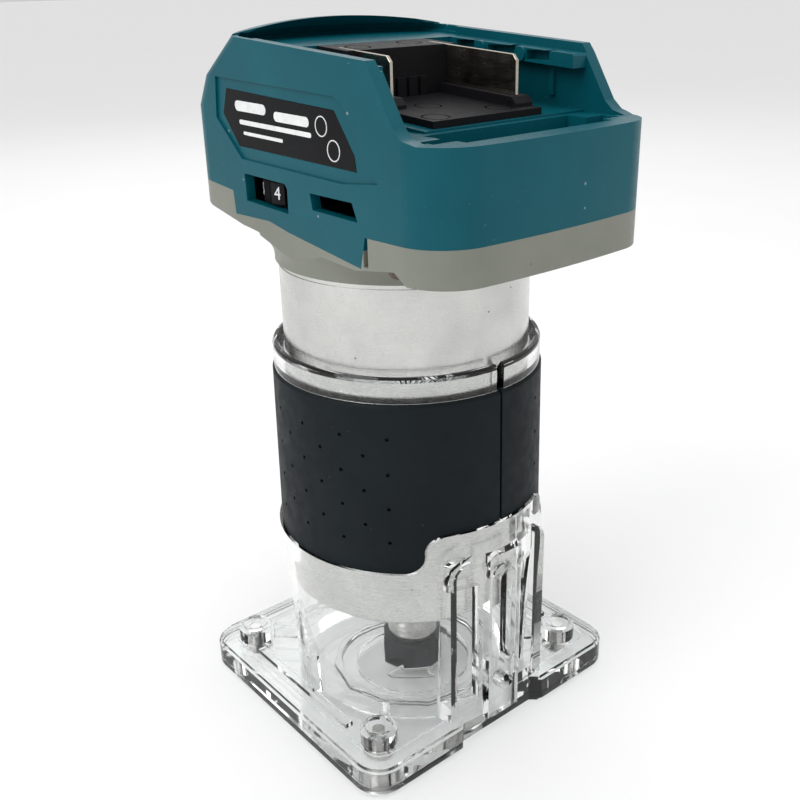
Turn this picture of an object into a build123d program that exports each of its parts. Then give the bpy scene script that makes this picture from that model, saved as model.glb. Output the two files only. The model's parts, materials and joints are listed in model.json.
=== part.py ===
from build123d import *
import math
import os

# Cordless trim router, without its battery.
# Frame: origin on the spindle axis at the underside of the base, +Z up along the spindle,
# -Y towards the guide block and the open end of the battery bay, -X towards the rating plate.
# All lengths are millimetres.

# ---- driving dimensions: base ----
PLATE_X = 92.0
PLATE_FRONT = -39.0
PLATE_REAR = 43.6
PLATE_CORNER = 8.0
SUB_BASE_T = 3.2
PLATE_TOP = 8.5
BIT_OPENING_R = 17.0
BASE_SCREWS = [(-35.0, 34.0), (35.0, 34.0), (-35.0, -27.0), (35.0, -27.0)]
SLEEVE_BORE_R = 32.8
GRIP_BED_R = 34.6
GRIP_LOW_Z = 54.6
GRIP_FRONT_Z = 65.0
GRIP_TOP_Z = 101.0
GRIP_LOW_R = 36.6
GRIP_TOP_R = 36.06
RING_R = 35.6
RING_TOP_Z = 107.7
SLIT_W = 2.4
BLOCK_X = 17.3
BLOCK_FRONT = -36.2
BLOCK_TOP = 58.0
GUIDE_X = 1.2

# ---- driving dimensions: depth drive and clamp, at the rear of the base ----
GEAR_MODULE = 1.0
PINION_TEETH = 10
RACK_PITCH_Y = 32.7
RACK_ADDENDUM = 0.55
RACK_DEDENDUM = 1.1
BACKLASH = 0.2
PINION_Z = 58.0
RACK_Z = (38.6, 84.6)
RACK_HALF_W = 3.9
REAR_X = 12.5
REAR_Y = 47.0
KNOB_X = (20.5, 29.5)
CLAMP_Y = 42.0
CLAMP_Z = 84.0
CLAMP_BOLT_R = 3.0

# ---- driving dimensions: motor unit ----
BARREL_R = 32.5
BARREL_BORE_R = 28.5
BARREL_Z = (37.25, 133.0)
COLLAR_Z = 129.5
COLLAR_R = 33.3
NECK_TOP_Z = 148.0
HEAD_X = 34.0
HEAD_FRONT = -53.7
HEAD_REAR = 50.0
CHIN_Z = 135.0
SEAM_Z = 143.4
LIP_Z = 163.6
RIM_MID_Z = 181.2
RIM_CROWN_Z = 185.9
BAY_TILT = 0.073
BAY_REAR = 10.5
RIM_REAR_Y = 22.0
LEDGE_Z = 179.2
WALL = 2.6
REAR_BEND_Z = 173.4
HEAD_TOP_Z = 188.0
RAIL_X = 26.0
RAIL_RECESS_X = 30.6
DIAL_X = -21.4
DIAL_Y = 9.6
DIAL_R = 11.6

# ---- driving dimensions: spindle, bearings and stator ----
SPINDLE_R = 7.2
THREAD_R = 6.4
SHAFT_R = 6.0
ROTOR_SHAFT_R = 4.0
COLLET_BORE_R = 3.175
NUT_AF = 17.0
NUT_Z = (4.0, 14.0)
NUT_TURN = -9.0
STATOR_Z = (72.0, 102.0)
LOWER_BEARING_R = 14.0
UPPER_BEARING_R = 11.0
UPPER_BEARING_Z = (124.6, 131.6)
RACK_SCREW_Z = (55.0, 66.0)
LEAD_SPOTS = [(27.1 * math.cos(math.radians(a)), 27.1 * math.sin(math.radians(a)))
              for a in (-105, -90, -75)]

# ---- driving dimensions: battery bay, controls and fastenings ----
BAY_MID_Z = 166.4
BLOCK_MID_Z = 179.2
BLOCK_FRONT_Y = -1.5
BLOCK_HALF_W = 16.8
BLADE_X = 14.0
BLADE_REAR = 5.0
RIGHT_BLADE_FRONT = -25.7
LEFT_BLADE_FRONT = -14.0
BOARD_Z = (154.6, 156.2)
HOUSING_SCREWS = [(-44.5, 150.0), (37.0, 160.0)]
COLLAR_SCREW = (28.5, -34.0)
LAMP = (16.0, -46.6)
DIAL_Z = (144.6, 150.6)
BUTTON_Z = 149.0
POWER_Y = 0.0
LOCK_Y = 14.0

# ---- outlines on the side faces, as (y, z) ----
LABEL = [(25.6, 170.8), (-18.2, 168.7), (-24.9, 159.8), (-25.4, 156.5), (21.6, 157.5), (27.9, 164.8)]
LABEL_FRAME = [(29.5, 173.4), (-18.6, 171.6), (-21.6, 170.2), (-33.0, 155.0), (-20.5, 153.6), (20.0, 154.6),
               (30.6, 163.6)]
DIAL_WINDOW = [(19.4, 151.2), (1.8, 150.8), (0.9, 149.6), (1.0, 143.9), (19.2, 144.6)]
VENT = [(-8.2, 150.0), (-23.9, 150.0), (-25.7, 146.0), (-9.0, 146.3)]

PARTS_DIR = "parts"
os.makedirs(PARTS_DIR, exist_ok=True)

XZ_FRONT = Plane(origin=(0, 0, 0), x_dir=(1, 0, 0), z_dir=(0, -1, 0))
YZ = Plane(origin=(0, 0, 0), x_dir=(0, 1, 0), z_dir=(1, 0, 0))


def save(piece, name):
    """Label a finished piece and write its STEP file."""
    piece.part.label = name
    export_step(piece.part, f"{PARTS_DIR}/{name}.step")


def block(x, y, z, mode=Mode.ADD):
    """A box between two limits on each axis."""
    size = (x[1] - x[0], y[1] - y[0], z[1] - z[0])
    with Locations(((x[0] + x[1]) / 2, (y[0] + y[1]) / 2, (z[0] + z[1]) / 2)):
        Box(*size, mode=mode)


def post(x, y, z, radius, mode=Mode.ADD):
    """An upright cylinder between two heights."""
    with Locations((x, y, (z[0] + z[1]) / 2)):
        Cylinder(radius, z[1] - z[0], mode=mode)


def tube(z, outer, inner, x=0.0, y=0.0, mode=Mode.ADD):
    """An upright ring between two heights."""
    with BuildSketch(Plane.XY.offset(z[0])) as ring:
        with Locations((x, y)):
            Circle(outer)
            Circle(inner, mode=Mode.SUBTRACT)
    extrude(ring.sketch, amount=z[1] - z[0], mode=mode)


def rod_x(x, y, z, radius, mode=Mode.ADD):
    """A cylinder along X between two limits."""
    with BuildSketch(YZ.offset(x[0])) as disc:
        with Locations((y, z)):
            Circle(radius)
    extrude(disc.sketch, amount=x[1] - x[0], mode=mode)


def side_shape(points, x, mode=Mode.ADD):
    """A Y-Z outline extruded along X between two limits."""
    with BuildSketch(YZ.offset(x[0])) as outline:
        with BuildLine():
            Polyline(*points, close=True)
        make_face()
    extrude(outline.sketch, amount=x[1] - x[0], mode=mode)


# ======================================================================
# Base
# ======================================================================

def plate_outline(inset=0.0):
    """Rounded plate with the shallow notch in its front edge."""
    depth = PLATE_REAR - PLATE_FRONT - 2 * inset
    with Locations((0, (PLATE_REAR + PLATE_FRONT) / 2)):
        RectangleRounded(PLATE_X - 2 * inset, depth, PLATE_CORNER - inset)
    edge = PLATE_FRONT - 1
    with BuildLine() as notch:
        Polyline((-16.5, edge), (-13, PLATE_FRONT + 2.6), (13, PLATE_FRONT + 2.6), (16.5, edge), close=True)
    make_face(notch.edges(), mode=Mode.SUBTRACT)


# Clear moulded base: sleeve, flange, collar ring, guide block and the rear housings.
with BuildPart() as base_moulding:
    with BuildSketch(Plane.XZ):
        with BuildLine():
            Polyline((SLEEVE_BORE_R, SUB_BASE_T), (SLEEVE_BORE_R, RING_TOP_Z - 2.2),
                     (RING_R - 1.2, RING_TOP_Z), (RING_R - 0.4, RING_TOP_Z), (RING_R, RING_TOP_Z - 0.6),
                     (RING_R, GRIP_TOP_Z), (GRIP_BED_R, GRIP_TOP_Z), (GRIP_BED_R, GRIP_LOW_Z),
                     (37.4, GRIP_LOW_Z), (37.5, 50))
            Spline((37.5, 50), (36.0, 34), (35.4, 22), (35.0, 12), (34.6, SUB_BASE_T))
            Line((34.6, SUB_BASE_T), (SLEEVE_BORE_R, SUB_BASE_T))
        make_face()
    revolve(axis=Axis.Z)
    # flange with a raised rim
    with BuildSketch(Plane.XY.offset(SUB_BASE_T)):
        plate_outline()
    extrude(amount=PLATE_TOP - SUB_BASE_T - 1.0)
    with BuildSketch(Plane.XY.offset(PLATE_TOP - 1.0)):
        plate_outline(0.9)
        with Locations((0, (PLATE_REAR + PLATE_FRONT) / 2)):
            RectangleRounded(PLATE_X - 10, PLATE_REAR - PLATE_FRONT - 10, 5, mode=Mode.SUBTRACT)
    extrude(amount=1.0)
    # screw bosses, side ribs and gussets
    for boss_x, boss_y in BASE_SCREWS:
        post(boss_x, boss_y, (5, 11.4), 5.0)
        post(boss_x, boss_y, (11, 12.6), 3.6)
        rib = math.degrees(math.atan2(boss_y, boss_x))
        with Locations(Location((0, 0, 0), (0, 0, rib))):
            with Locations((38.5, 0, 9.5)):
                Box(9, 1.8, 5)
    for side in (-1, 1):
        block((side * 38 - 1.1, side * 38 + 1.1), (-18, 26), (6, 8.9))
        side_rib = [(-1, 7), (-1, 20), (1, 20), (1, 7)]
        side_shape(side_rib, (side * 36 - 2.2, side * 36 + 2.2))
    # rear gear housing and clamp ears
    block((-REAR_X, REAR_X), (30, REAR_Y), (46, 68.5))
    rod_x((REAR_X - 1, KNOB_X[0] - 0.6), RACK_PITCH_Y + 5, PINION_Z, 5.4)
    block((-10, 10), (30, REAR_Y + 0.5), (73, 95))
    # guide block on the front
    with BuildSketch(XZ_FRONT.offset(28)) as guide_face:
        with BuildLine():
            top = BLOCK_TOP
            Line((-BLOCK_X, SUB_BASE_T + 2), (-BLOCK_X, top - 8))
            JernArc((-BLOCK_X, top - 8), (0, 1), 8, -90)
            Line((-BLOCK_X + 8, top), (BLOCK_X - 5, top))
            JernArc((BLOCK_X - 5, top), (1, 0), 5, -90)
            Polyline((BLOCK_X, top - 5), (BLOCK_X, SUB_BASE_T + 2), (-BLOCK_X, SUB_BASE_T + 2))
        make_face()
    extrude(amount=-BLOCK_FRONT - 28)
    side_shape([(BLOCK_FRONT, 5), (BLOCK_FRONT - 2.5, 5), (BLOCK_FRONT - 2.5, BLOCK_TOP - 1.6),
                (BLOCK_FRONT, BLOCK_TOP)], (-5.7, 5.6))
    # pockets either side of the centre panel, open to the front
    with BuildSketch(XZ_FRONT.offset(25)):
        with BuildLine():
            Polyline((-15.2, 52), (-15.2, 12), (-7.2, 12), (-7.2, 52))
            ThreePointArc((-7.2, 52), (-11.2, 56), (-15.2, 52))
        make_face()
        with Locations((10.3, 37)):
            Rectangle(6.2, 50)
    pocket_depth = -BLOCK_FRONT - 25 + 1
    extrude(amount=pocket_depth, mode=Mode.SUBTRACT)
    tube((SUB_BASE_T, GRIP_LOW_Z), 34.3, SLEEVE_BORE_R)
    # vertical guide slot and threaded guide hole
    with BuildSketch(XZ_FRONT.offset(25)):
        with Locations((GUIDE_X, 36)):
            SlotOverall(30, 6.0, rotation=90)
        with Locations((GUIDE_X, 14.5)):
            Circle(2.5)
    extrude(amount=20, mode=Mode.SUBTRACT)
    # bore, bit chamber and rear chip window
    post(0, 0, (SUB_BASE_T - 1, RING_TOP_Z - 2.2), SLEEVE_BORE_R, mode=Mode.SUBTRACT)
    post(0, 0, (RING_TOP_Z - 2.4, RING_TOP_Z + 1), SLEEVE_BORE_R, mode=Mode.SUBTRACT)
    block((-14, 14), (28, 40), (PLATE_TOP + 2, 40), mode=Mode.SUBTRACT)
    # front slit, rear slit and the channel for the rack
    block((-SLIT_W / 2, SLIT_W / 2), (-40, -30), (GRIP_FRONT_Z + 0.5, RING_TOP_Z + 1), mode=Mode.SUBTRACT)
    block((-1.6, 1.6), (30, 50), (70, RING_TOP_Z + 1), mode=Mode.SUBTRACT)
    block((-4.5, 4.5), (28, 33.8), (SUB_BASE_T + 8, RING_TOP_Z + 1), mode=Mode.SUBTRACT)
    # pinion pocket and its two bearings
    block((-4.6, 4.6), (30, 44.4), (PINION_Z - 6.6, PINION_Z + 6.6), mode=Mode.SUBTRACT)
    rod_x((-20, 20), RACK_PITCH_Y + 5, PINION_Z, 3.05, mode=Mode.SUBTRACT)
    # clamp bolt hole with its hexagon pocket
    rod_x((-20, 20), CLAMP_Y, CLAMP_Z, CLAMP_BOLT_R + 0.2, mode=Mode.SUBTRACT)
    with BuildSketch(YZ.offset(-10)):
        with Locations((CLAMP_Y, CLAMP_Z)):
            RegularPolygon(5.1, 6, major_radius=False)
    extrude(amount=3.4, mode=Mode.SUBTRACT)
    # pilot holes for the sub-base screws
    for boss_x, boss_y in BASE_SCREWS:
        post(boss_x, boss_y, (SUB_BASE_T - 1, 10.2), 1.75, mode=Mode.SUBTRACT)

# Raised clear zone in front, standing up into the grip's edge.
with BuildPart() as raised_zone:
    with BuildSketch(XZ_FRONT):
        with BuildLine():
            Polyline((-30, GRIP_LOW_Z - 6), (-30, GRIP_LOW_Z), (-20.5, GRIP_LOW_Z), (-20.5, GRIP_FRONT_Z),
                     (20.5, GRIP_FRONT_Z), (20.5, GRIP_LOW_Z), (30, GRIP_LOW_Z), (30, GRIP_LOW_Z - 6),
                     close=True)
        make_face()
    extrude(amount=45)
    s_edges = [e for e in raised_zone.edges().filter_by(Axis.Y) if abs(e.center().X) < 25]
    fillet(s_edges, 4.6)
front_block = raised_zone.part

with BuildPart() as raised_band:
    tube((GRIP_LOW_Z - 6, GRIP_FRONT_Z), 37.4, GRIP_BED_R - 0.4)
    add(front_block, mode=Mode.INTERSECT)

with BuildPart() as base_sleeve:
    add(base_moulding.part)
    add(raised_band.part)
save(base_sleeve, "base_sleeve")

# Replaceable flat sub-base with its round bit opening.
with BuildPart() as sub_base_plate:
    with BuildSketch(Plane.XY):
        plate_outline(0.9)
    extrude(amount=0.8)
    with BuildSketch(Plane.XY.offset(0.8)):
        plate_outline()
    extrude(amount=SUB_BASE_T - 0.8)
    post(0, 0, (-1, 5), BIT_OPENING_R, mode=Mode.SUBTRACT)
    with Locations(*[(x, y, 0) for x, y in BASE_SCREWS]):
        with Locations(Location((0, 0, 0), (180, 0, 0))):
            CounterSinkHole(2.2, 4.3, depth=SUB_BASE_T)
    with BuildSketch(Plane.XY.offset(SUB_BASE_T)):
        RegularPolygon(24, 12)
        Circle(21.5, mode=Mode.SUBTRACT)
    extrude(amount=1.2)
save(sub_base_plate, "sub_base_plate")

# Countersunk screws that hold the sub-base.
with BuildPart() as sub_base_screws:
    for boss_x, boss_y in BASE_SCREWS:
        with BuildSketch(Plane(origin=(boss_x, boss_y, 0), x_dir=(1, 0, 0), z_dir=(0, -1, 0))):
            with BuildLine():
                Polyline((0, 0.3), (3.9, 0.3), (1.75, 2.45), (1.75, 10.0), (0, 10.0), close=True)
            make_face()
        revolve(axis=Axis((boss_x, boss_y, 0), (0, 0, 1)))
        with BuildSketch(Plane.XY.offset(0.3)):
            with Locations((boss_x, boss_y)):
                Rectangle(4.6, 0.9)
                Rectangle(0.9, 4.6)
        extrude(amount=1.2, mode=Mode.SUBTRACT)
save(sub_base_screws, "sub_base_screws")

# Soft grip around the sleeve, with its seam, pin holes and rear opening.
with BuildPart() as rubber_grip:
    with BuildSketch(Plane.XZ):
        with BuildLine():
            Polyline((GRIP_BED_R, GRIP_LOW_Z), (GRIP_LOW_R, GRIP_LOW_Z), (GRIP_TOP_R, GRIP_TOP_Z - 1.0),
                     (GRIP_TOP_R - 0.8, GRIP_TOP_Z), (GRIP_BED_R, GRIP_TOP_Z), close=True)
        make_face()
    revolve(axis=Axis.Z)
    add(front_block, mode=Mode.SUBTRACT)
    block((-0.35, 0.35), (-40, -34.9), (GRIP_LOW_Z, GRIP_TOP_Z + 1), mode=Mode.SUBTRACT)
    block((-REAR_X, REAR_X), (25, 50), (GRIP_LOW_Z - 1, GRIP_TOP_Z + 1), mode=Mode.SUBTRACT)
    rod_x((REAR_X - 1, KNOB_X[0]), RACK_PITCH_Y + 5, PINION_Z, 5.4, mode=Mode.SUBTRACT)
    # staggered columns of pin holes, running from both sides of the front towards the rear
    for first_turn, step, top in ((-137.9, -9.75, 92.0), (-62.8, 9.75, 93.1)):
        for column in range(9):
            for row in range(4):
                height = top - 9.5 * row - 4.75 * (column % 2)
                if height > GRIP_LOW_Z + 6:
                    with Locations(Location((0, 0, height), (0, 0, first_turn + step * column))):
                        with Locations(Location((36.4, 0, 0), (0, 90, 0))):
                            Cylinder(0.5, 1.8, mode=Mode.SUBTRACT)
save(rubber_grip, "rubber_grip")


# ======================================================================
# Clamp and depth drive, at the rear of the base
# ======================================================================

with BuildPart() as clamp_bolt:
    with BuildSketch(YZ.offset(-10)):
        with Locations((CLAMP_Y, CLAMP_Z)):
            RegularPolygon(5.0, 6, major_radius=False)
    extrude(amount=3.4)
    rod_x((-6.6, 21), CLAMP_Y, CLAMP_Z, CLAMP_BOLT_R)
save(clamp_bolt, "clamp_bolt")

with BuildPart() as clamp_washer:
    rod_x((10, 11.4), CLAMP_Y, CLAMP_Z, 6.2)
    rod_x((9, 12), CLAMP_Y, CLAMP_Z, CLAMP_BOLT_R + 0.2, mode=Mode.SUBTRACT)
save(clamp_washer, "clamp_washer")

# Lobed thumb nut.
with BuildPart() as clamp_thumb_nut:
    rod_x((11.7, 15), CLAMP_Y, CLAMP_Z, 6.0)
    rod_x((14, 23), CLAMP_Y, CLAMP_Z, 7.9)
    for lobe in range(6):
        turn = math.radians(60 * lobe)
        lobe_y, lobe_z = CLAMP_Y + 9.2 * math.cos(turn), CLAMP_Z + 9.2 * math.sin(turn)
        rod_x((14, 23), lobe_y, lobe_z, 2.4, mode=Mode.SUBTRACT)
    rod_x((11, 21.5), CLAMP_Y, CLAMP_Z, CLAMP_BOLT_R + 0.08, mode=Mode.SUBTRACT)
save(clamp_thumb_nut, "clamp_thumb_nut")

PITCH_R = GEAR_MODULE * PINION_TEETH / 2
PINION_Y = RACK_PITCH_Y + PITCH_R
TOOTH_PITCH = math.pi * GEAR_MODULE
PRESSURE = math.radians(20)


def involute_point(radius, half_angle_pitch):
    """Point on the right flank of a tooth that is centred on the local +X axis."""
    base_r = PITCH_R * math.cos(PRESSURE)
    pressure_here = math.acos(min(1.0, base_r / radius))
    involute = math.tan(pressure_here) - pressure_here
    involute_at_pitch = math.tan(PRESSURE) - PRESSURE
    angle = half_angle_pitch + involute_at_pitch - involute
    return radius, angle


# Pinion cut from its shaft, one tooth pointing at the rack.
with BuildPart() as pinion_shaft:
    half_tooth = (TOOTH_PITCH / 2 - BACKLASH) / (2 * PITCH_R)
    root_r = PITCH_R - 1.15
    radii = [4.72, 4.85, 5.1, 5.4, 5.75]
    with BuildSketch(YZ.offset(-3.6)):
        with Locations((PINION_Y, PINION_Z)):
            Circle(root_r)
        for tooth in range(PINION_TEETH):
            centre = math.pi + tooth * 2 * math.pi / PINION_TEETH
            flank = [involute_point(r, half_tooth) for r in radii]
            inner = [(root_r - 0.4, flank[0][1])]
            outline = inner + flank
            left = [(r, centre + a) for r, a in outline]
            right = [(r, centre - a) for r, a in reversed(outline)]
            points = [(PINION_Y + r * math.cos(a), PINION_Z + r * math.sin(a)) for r, a in left + right]
            with BuildLine():
                Polyline(*points, close=True)
            make_face()
    extrude(amount=7.2)
    rod_x((-REAR_X, -3.6), PINION_Y, PINION_Z, 3.0)
    rod_x((3.6, KNOB_X[1] - 1.5), PINION_Y, PINION_Z, 3.0)
save(pinion_shaft, "pinion_shaft")

with BuildPart() as adjusting_knob:
    rod_x(KNOB_X, PINION_Y, PINION_Z, 6.8)
    for groove in range(16):
        turn = 2 * math.pi * groove / 16
        rod_x((KNOB_X[0] + 1.5, KNOB_X[1]), PINION_Y + 7.2 * math.cos(turn), PINION_Z + 7.2 * math.sin(turn),
              0.8, mode=Mode.SUBTRACT)
    rod_x((KNOB_X[0] - 1, KNOB_X[1] - 1.5), PINION_Y, PINION_Z, 3.0, mode=Mode.SUBTRACT)
save(adjusting_knob, "adjusting_knob")


# ======================================================================
# Motor unit: barrel and what it holds
# ======================================================================

with BuildPart() as motor_barrel:
    tube(BARREL_Z, BARREL_R, BARREL_BORE_R)
    lowest = motor_barrel.edges().filter_by(GeomType.CIRCLE).group_by(Axis.Z)[0].sort_by(SortBy.RADIUS)[-1]
    chamfer(lowest, 0.8)
    tube((COLLAR_Z - 1.3, COLLAR_Z - 0.8), BARREL_R + 1, BARREL_R - 0.25, mode=Mode.SUBTRACT)
    block((-RACK_HALF_W, RACK_HALF_W), (29.6, 34), (BARREL_Z[0] - 1, RACK_Z[1]), mode=Mode.SUBTRACT)
    for z in RACK_SCREW_Z:
        with Locations(Location((0, 29, z), (90, 0, 0))):
            Cylinder(1.25, 4, mode=Mode.SUBTRACT)
save(motor_barrel, "motor_barrel")

# Toothed rack let into the rear of the barrel.
with BuildPart() as rack_strip:
    tip_y = RACK_PITCH_Y + RACK_ADDENDUM
    root_y = RACK_PITCH_Y - RACK_DEDENDUM
    block((-RACK_HALF_W, RACK_HALF_W), (29.6, root_y), RACK_Z)
    # a tooth space is centred on the pinion's height, where a pinion tooth points at the rack
    first = PINION_Z + TOOTH_PITCH / 2 - TOOTH_PITCH * 6
    half_pitch = TOOTH_PITCH / 4 - BACKLASH / 4
    slope = math.tan(PRESSURE)
    half_tip = half_pitch - RACK_ADDENDUM * slope
    half_root = half_pitch + RACK_DEDENDUM * slope
    for tooth in range(14):
        z = first + tooth * TOOTH_PITCH
        tooth_side = [(root_y, z - half_root), (tip_y, z - half_tip),
                      (tip_y, z + half_tip), (root_y, z + half_root)]
        side_shape(tooth_side, (-RACK_HALF_W, RACK_HALF_W))
    for z in RACK_SCREW_Z:
        with Locations(Location((0, 29.9, z), (90, 0, 0))):
            Cylinder(1.2, 2.6, mode=Mode.SUBTRACT)
save(rack_strip, "rack_strip")

with BuildPart() as rack_screws:
    for z in RACK_SCREW_Z:
        with Locations(Location((0, 29.35, z), (90, 0, 0))):
            Cylinder(1.2, 3.3)
        with Locations(Location((0, 27.6, z), (90, 0, 0))):
            Cylinder(2.2, 1.0)
save(rack_screws, "rack_screws")

# Bottom plate of the barrel with the seat of the lower bearing.
with BuildPart() as lower_bearing_housing:
    tube((38.6, 50), BARREL_BORE_R - 0.05, LOWER_BEARING_R)
    tube((38.6, 41), LOWER_BEARING_R + 0.5, 9.0)
    for turn in range(8):
        angle = math.radians(22.5 + 45 * turn)
        post(21 * math.cos(angle), 21 * math.sin(angle), (38, 51), 3.2, mode=Mode.SUBTRACT)
save(lower_bearing_housing, "lower_bearing_housing")


def bearing(z, bore, inner, outer, rim, ball_r, label):
    """Write a ball bearing as its inner race, outer race and ring of balls."""
    with BuildPart() as inner_race:
        tube(z, inner, bore)
    save(inner_race, f"{label}_bearing_inner")
    with BuildPart() as outer_race:
        tube(z, rim, outer)
    save(outer_race, f"{label}_bearing_outer")
    with BuildPart() as balls:
        middle = (z[0] + z[1]) / 2
        with Locations((0, 0, middle)):
            with PolarLocations((inner + outer) / 2, 8):
                Sphere(ball_r)
    save(balls, f"{label}_bearing_balls")


bearing((41.2, 49.2), SHAFT_R, 8.4, 11.6, LOWER_BEARING_R, 1.55, "lower")
bearing(UPPER_BEARING_Z, ROTOR_SHAFT_R, 6.0, 8.7, UPPER_BEARING_R, 1.3, "upper")

# Moulded spider that seats the upper bearing in the top of the barrel.
with BuildPart() as upper_bearing_holder:
    tube((123.6, 132.6), BARREL_BORE_R - 0.05, 25.0)
    tube((123.6, 132.6), 14.0, UPPER_BEARING_R)
    tube((132.0, 132.6), 14.0, 6.6)
    with PolarLocations(19.5, 6):
        with Locations((0, 0, 127)):
            Box(13, 3, 6.8)
    for lead_x, lead_y in LEAD_SPOTS:
        post(lead_x, lead_y, (120, 134), 1.8, mode=Mode.SUBTRACT)
save(upper_bearing_holder, "upper_bearing_holder")

# Laminated stator with six poles.
with BuildPart() as stator_core:
    tube(STATOR_Z, BARREL_BORE_R - 0.1, 23.5)
    with PolarLocations(19.3, 6):
        with Locations((0, 0, sum(STATOR_Z) / 2)):
            Box(9.2, 6.0, STATOR_Z[1] - STATOR_Z[0])
            with Locations((-3.6, 0, 0)):
                Box(2.2, 11.0, STATOR_Z[1] - STATOR_Z[0])
    post(0, 0, (STATOR_Z[0] - 1, STATOR_Z[1] + 1), 14.9, mode=Mode.SUBTRACT)
save(stator_core, "stator_core")

with BuildPart() as stator_windings:
    with PolarLocations(20.0, 6):
        with Locations((0, 0, sum(STATOR_Z) / 2)):
            Box(5.4, 11.6, STATOR_Z[1] - STATOR_Z[0] + 8)
            Box(6.4, 6.2, STATOR_Z[1] - STATOR_Z[0] + 0.2, mode=Mode.SUBTRACT)
save(stator_windings, "stator_windings")

with BuildPart() as hall_board:
    tube((107.6, 109.0), BARREL_BORE_R - 0.3, 16)
save(hall_board, "hall_board")

with BuildPart() as fan_baffle:
    tube((121.4, 123.0), BARREL_BORE_R - 0.1, 16)
    for lead_x, lead_y in LEAD_SPOTS:
        post(lead_x, lead_y, (120, 134), 1.8, mode=Mode.SUBTRACT)
save(fan_baffle, "fan_baffle")

with BuildPart() as motor_leads:
    for lead_x, lead_y in LEAD_SPOTS:
        post(lead_x, lead_y, (109, BOARD_Z[0]), 0.9)
save(motor_leads, "motor_leads")


# ======================================================================
# Spindle
# ======================================================================

with BuildPart() as spindle_shaft:
    with BuildSketch(Plane.XZ):
        with BuildLine():
            Polyline((5.45, 5.0), (THREAD_R, 5.0), (THREAD_R, 14.4), (SPINDLE_R, 15.4), (SPINDLE_R, 41.2),
                     (SHAFT_R, 41.2), (SHAFT_R, 52), (5, 53), (5, 66), (ROTOR_SHAFT_R, 66),
                     (ROTOR_SHAFT_R, 134.5), (0, 134.5), (0, 36), (3.5, 36), (3.5, 27), (4.05, 27), (4.05, 17), close=True)
        make_face()
    revolve(axis=Axis.Z)
    for side in (-1, 1):
        block((side * 8 - 1.4, side * 8 + 1.4), (-10, 10), (25, 33), mode=Mode.SUBTRACT)
save(spindle_shaft, "spindle_shaft")

# Split collet for the cutter's shank.
with BuildPart() as collet_cone:
    with BuildSketch(Plane.XZ):
        with BuildLine():
            Polyline((COLLET_BORE_R, 5.0), (5.35, 5.0), (5.35, 5.4), (3.95, 17), (3.95, 26.5),
                     (COLLET_BORE_R, 26.5), close=True)
        make_face()
    revolve(axis=Axis.Z)
    with PolarLocations(4.4, 3, start_angle=30):
        with Locations((0, 0, 12)):
            Box(3.6, 0.8, 16, mode=Mode.SUBTRACT)
save(collet_cone, "collet_cone")

with BuildPart() as rotor_core:
    tube((STATOR_Z[0] + 1, STATOR_Z[1] - 1), 11.8, ROTOR_SHAFT_R)
save(rotor_core, "rotor_core")

with BuildPart() as rotor_magnets:
    tube((STATOR_Z[0] + 1, STATOR_Z[1] - 1), 14.2, 11.8)
    with PolarLocations(13, 2):
        with Locations((0, 0, sum(STATOR_Z) / 2)):
            Box(60, 1.0, 40, mode=Mode.SUBTRACT)
    with PolarLocations(0, 2, start_angle=90):
        with Locations((0, 0, sum(STATOR_Z) / 2)):
            Box(60, 1.0, 40, mode=Mode.SUBTRACT)
save(rotor_magnets, "rotor_magnets")

with BuildPart() as balance_ring:
    tube((66.2, 70.4), 9.5, ROTOR_SHAFT_R)
save(balance_ring, "balance_ring")

with BuildPart() as cooling_fan:
    tube((111, 120.8), 7.5, ROTOR_SHAFT_R)
    tube((111, 112.4), 25.8, 7)
    with PolarLocations(16.4, 11):
        with Locations(Location((0, 0, 116.4), (0, 0, 25))):
            Box(18, 1.3, 8.4)
save(cooling_fan, "cooling_fan")

# Hexagon collet nut, chamfered at both ends.
with BuildPart() as collet_nut:
    with BuildSketch(Plane.XY.offset(NUT_Z[0])):
        RegularPolygon(NUT_AF / 2, 6, major_radius=False, rotation=NUT_TURN)
    extrude(amount=NUT_Z[1] - NUT_Z[0])
    with BuildSketch(Plane.XZ):
        with BuildLine():
            Polyline((0, NUT_Z[0]), (7.6, NUT_Z[0]), (9.9, NUT_Z[0] + 1.6), (9.9, NUT_Z[1] - 0.8),
                     (9.1, NUT_Z[1]), (0, NUT_Z[1]), close=True)
        make_face()
    revolve(axis=Axis.Z, mode=Mode.INTERSECT)
    post(0, 0, (4.92, 20), THREAD_R + 0.08, mode=Mode.SUBTRACT)
    post(0, 0, (0, 10), 4.0, mode=Mode.SUBTRACT)
save(collet_nut, "collet_nut")


# ======================================================================
# Head: teal halves, grey lower housing and what they hold
# ======================================================================

def head_plan(inset=0.0, rear_shift=0.0):
    """Plan outline of the head: crowned front, straight sides, bowed rear."""
    side = HEAD_X - inset
    front = HEAD_FRONT + inset
    round_front = 12.5 - inset
    round_rear = 8.0 - inset
    rear_start = 36.0 - rear_shift
    swing = math.radians(65)
    rear_x = side - round_rear + round_rear * math.cos(swing)
    rear_y = rear_start + round_rear * math.sin(swing)
    with BuildLine() as outline:
        Line((-side, rear_start), (-side, front + 0.8 + round_front))
        JernArc((-side, front + 0.8 + round_front), (0, -1), round_front, 90)
        ThreePointArc((-side + round_front, front + 0.8), (0, front), (side - round_front, front + 0.8))
        JernArc((side - round_front, front + 0.8), (1, 0), round_front, 90)
        Line((side, front + 0.8 + round_front), (side, rear_start))
        JernArc((side, rear_start), (0, 1), round_rear, 65)
        ThreePointArc((rear_x, rear_y), (0, HEAD_REAR - inset - rear_shift), (-rear_x, rear_y))
        JernArc((-side, rear_start), (0, 1), round_rear, -65)
    make_face(outline.edges())


def tilted(y, height):
    """Height of a line parallel to the tilted battery bay, given at the bay's middle."""
    return height + BAY_TILT * y


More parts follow.
